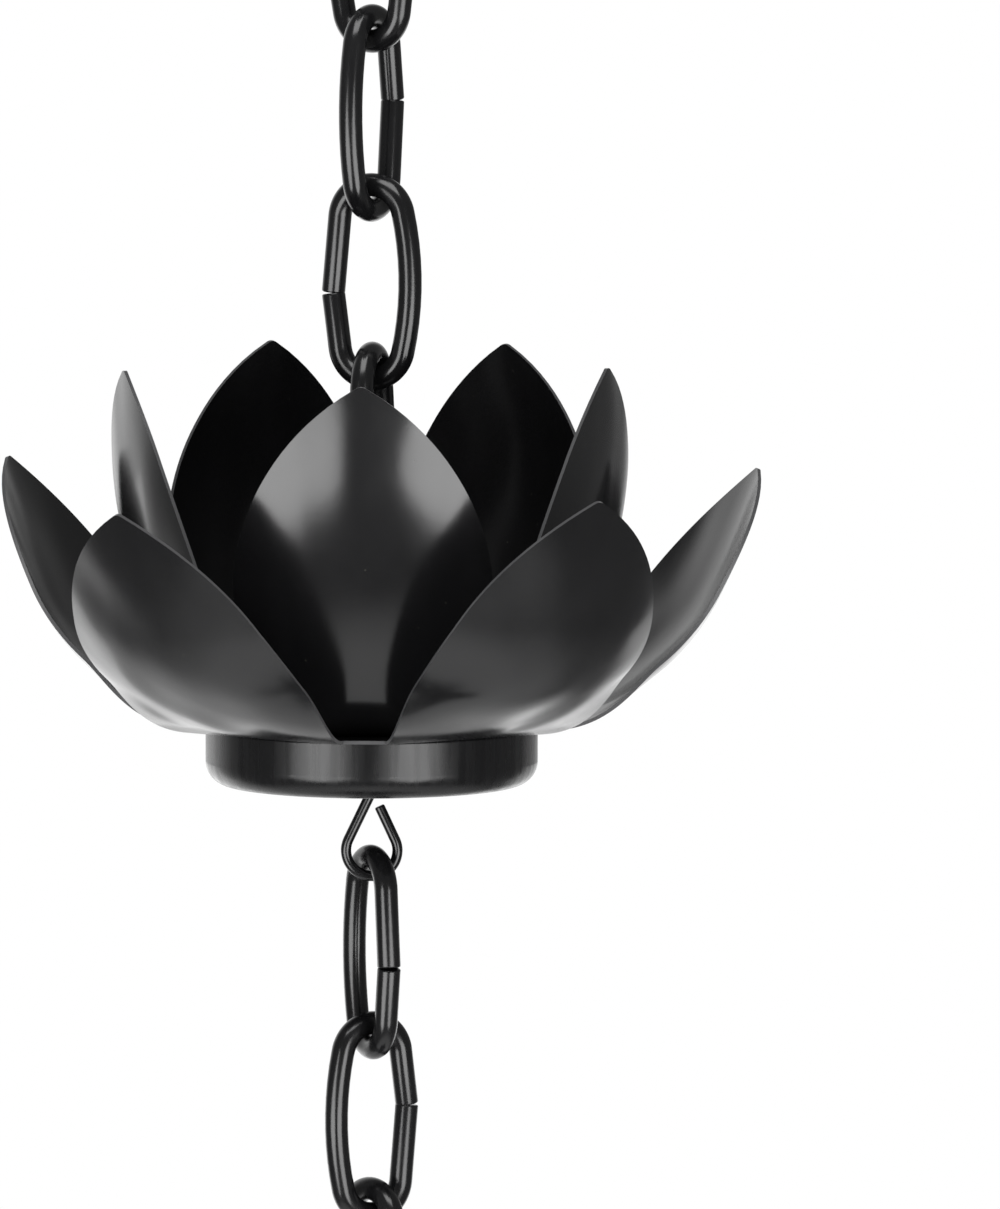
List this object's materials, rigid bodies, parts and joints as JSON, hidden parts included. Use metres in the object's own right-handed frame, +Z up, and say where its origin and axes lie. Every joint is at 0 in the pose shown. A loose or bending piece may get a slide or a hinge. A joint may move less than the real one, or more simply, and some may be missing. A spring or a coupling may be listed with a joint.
{
  "type": "rain chain",
  "caption": "Hanging rain chain: black oval wire links carry lotus-shaped cups of pressed petals on round drain bases, each held by a bent wire hook.",
  "frame": {"origin": "hang point: the inside of the top link's upper bend, where a hook carries the chain", "axes": "+Z up along the chain, -Y towards the front petal of each cup, +X to the right seen from the front"},
  "size_m": [0.1306, 0.1307, 0.8696],
  "materials": {
    "black_paint": "satin black paint on steel"
  },
  "bodies": {
    "link_01": {"link_01": "black_paint"},
    "link_02": {"link_02": "black_paint"},
    "link_03": {"link_03": "black_paint"},
    "link_04": {"link_04": "black_paint"},
    "link_05": {"link_05": "black_paint"},
    "cup_1": {"cup_1_base": "black_paint", "cup_1_outer_flower": "black_paint", "cup_1_inner_flower": "black_paint", "cup_1_hook": "black_paint"},
    "link_06": {"link_06": "black_paint"},
    "link_07": {"link_07": "black_paint"},
    "link_08": {"link_08": "black_paint"},
    "link_09": {"link_09": "black_paint"},
    "link_10": {"link_10": "black_paint"},
    "link_11": {"link_11": "black_paint"},
    "link_12": {"link_12": "black_paint"},
    "link_13": {"link_13": "black_paint"},
    "cup_2": {"cup_2_base": "black_paint", "cup_2_outer_flower": "black_paint", "cup_2_inner_flower": "black_paint", "cup_2_hook": "black_paint"},
    "link_14": {"link_14": "black_paint"},
    "link_15": {"link_15": "black_paint"},
    "link_16": {"link_16": "black_paint"},
    "link_17": {"link_17": "black_paint"},
    "link_18": {"link_18": "black_paint"},
    "link_19": {"link_19": "black_paint"},
    "link_20": {"link_20": "black_paint"},
    "link_21": {"link_21": "black_paint"},
    "cup_3": {"cup_3_base": "black_paint", "cup_3_outer_flower": "black_paint", "cup_3_inner_flower": "black_paint", "cup_3_hook": "black_paint"},
    "link_22": {"link_22": "black_paint"},
    "link_23": {"link_23": "black_paint"},
    "link_24": {"link_24": "black_paint"}
  },
  "joints": [
    {"name": "link_02_swing", "type": "hinge", "parent": "link_01", "child": "link_02", "pos_m": [0, 0, -0.031], "axis": [-0.6691, -0.7431, 0], "range_deg": [-60, 60]},
    {"name": "link_03_swing", "type": "hinge", "parent": "link_02", "child": "link_03", "pos_m": [0, 0, -0.0597], "axis": [0.8192, -0.5736, 0], "range_deg": [-60, 60]},
    {"name": "link_04_swing", "type": "hinge", "parent": "link_03", "child": "link_04", "pos_m": [0, 0, -0.0884], "axis": [0.4695, 0.8829, 0], "range_deg": [-60, 60]},
    {"name": "link_05_swing", "type": "hinge", "parent": "link_04", "child": "link_05", "pos_m": [0, 0, -0.1171], "axis": [-0.9336, 0.3584, 0], "range_deg": [-60, 60]},
    {"name": "cup_1_swing", "type": "hinge", "parent": "link_05", "child": "cup_1", "pos_m": [0, 0, -0.1458], "axis": [-0.2419, -0.9703, 0], "range_deg": [-25, 40]},
    {"name": "link_06_swing", "type": "hinge", "parent": "cup_1", "child": "link_06", "pos_m": [0, 0, -0.2024], "axis": [0.891, 0.454, 0], "range_deg": [-60, 60]},
    {"name": "link_07_swing", "type": "hinge", "parent": "link_06", "child": "link_07", "pos_m": [0, 0, -0.232], "axis": [0.454, -0.891, 0], "range_deg": [-60, 60]},
    {"name": "link_08_swing", "type": "hinge", "parent": "link_07", "child": "link_08", "pos_m": [0, 0, -0.2607], "axis": [0.829, 0.5592, 0], "range_deg": [-60, 60]},
    {"name": "link_09_swing", "type": "hinge", "parent": "link_08", "child": "link_09", "pos_m": [0, 0, -0.2894], "axis": [-0.6561, 0.7547, 0], "range_deg": [-60, 60]},
    {"name": "link_10_swing", "type": "hinge", "parent": "link_09", "child": "link_10", "pos_m": [0, 0, -0.3181], "axis": [-0.6691, -0.7431, 0], "range_deg": [-60, 60]},
    {"name": "link_11_swing", "type": "hinge", "parent": "link_10", "child": "link_11", "pos_m": [0, 0, -0.3468], "axis": [0.8192, -0.5736, 0], "range_deg": [-60, 60]},
    {"name": "link_12_swing", "type": "hinge", "parent": "link_11", "child": "link_12", "pos_m": [0, 0, -0.3755], "axis": [0.4695, 0.8829, 0], "range_deg": [-60, 60]},
    {"name": "link_13_swing", "type": "hinge", "parent": "link_12", "child": "link_13", "pos_m": [0, 0, -0.4042], "axis": [-0.9336, 0.3584, 0], "range_deg": [-60, 60]},
    {"name": "cup_2_swing", "type": "hinge", "parent": "link_13", "child": "cup_2", "pos_m": [0, 0, -0.4329], "axis": [-0.2419, -0.9703, 0], "range_deg": [-25, 40]},
    {"name": "link_14_swing", "type": "hinge", "parent": "cup_2", "child": "link_14", "pos_m": [0, 0, -0.4895], "axis": [0.891, 0.454, 0], "range_deg": [-60, 60]},
    {"name": "link_15_swing", "type": "hinge", "parent": "link_14", "child": "link_15", "pos_m": [0, 0, -0.5191], "axis": [0.454, -0.891, 0], "range_deg": [-60, 60]},
    {"name": "link_16_swing", "type": "hinge", "parent": "link_15", "child": "link_16", "pos_m": [0, 0, -0.5478], "axis": [0.829, 0.5592, 0], "range_deg": [-60, 60]},
    {"name": "link_17_swing", "type": "hinge", "parent": "link_16", "child": "link_17", "pos_m": [0, 0, -0.5765], "axis": [-0.6561, 0.7547, 0], "range_deg": [-60, 60]},
    {"name": "link_18_swing", "type": "hinge", "parent": "link_17", "child": "link_18", "pos_m": [0, 0, -0.6052], "axis": [-0.6691, -0.7431, 0], "range_deg": [-60, 60]},
    {"name": "link_19_swing", "type": "hinge", "parent": "link_18", "child": "link_19", "pos_m": [0, 0, -0.6339], "axis": [0.8192, -0.5736, 0], "range_deg": [-60, 60]},
    {"name": "link_20_swing", "type": "hinge", "parent": "link_19", "child": "link_20", "pos_m": [0, 0, -0.6626], "axis": [0.4695, 0.8829, 0], "range_deg": [-60, 60]},
    {"name": "link_21_swing", "type": "hinge", "parent": "link_20", "child": "link_21", "pos_m": [0, 0, -0.6913], "axis": [-0.9336, 0.3584, 0], "range_deg": [-60, 60]},
    {"name": "cup_3_swing", "type": "hinge", "parent": "link_21", "child": "cup_3", "pos_m": [0, 0, -0.72], "axis": [-0.2419, -0.9703, 0], "range_deg": [-25, 40]},
    {"name": "link_22_swing", "type": "hinge", "parent": "cup_3", "child": "link_22", "pos_m": [0, 0, -0.7766], "axis": [0.891, 0.454, 0], "range_deg": [-60, 60]},
    {"name": "link_23_swing", "type": "hinge", "parent": "link_22", "child": "link_23", "pos_m": [0, 0, -0.8062], "axis": [0.454, -0.891, 0], "range_deg": [-60, 60]},
    {"name": "link_24_swing", "type": "hinge", "parent": "link_23", "child": "link_24", "pos_m": [0, 0, -0.8349], "axis": [0.829, 0.5592, 0], "range_deg": [-60, 60]}
  ]
}
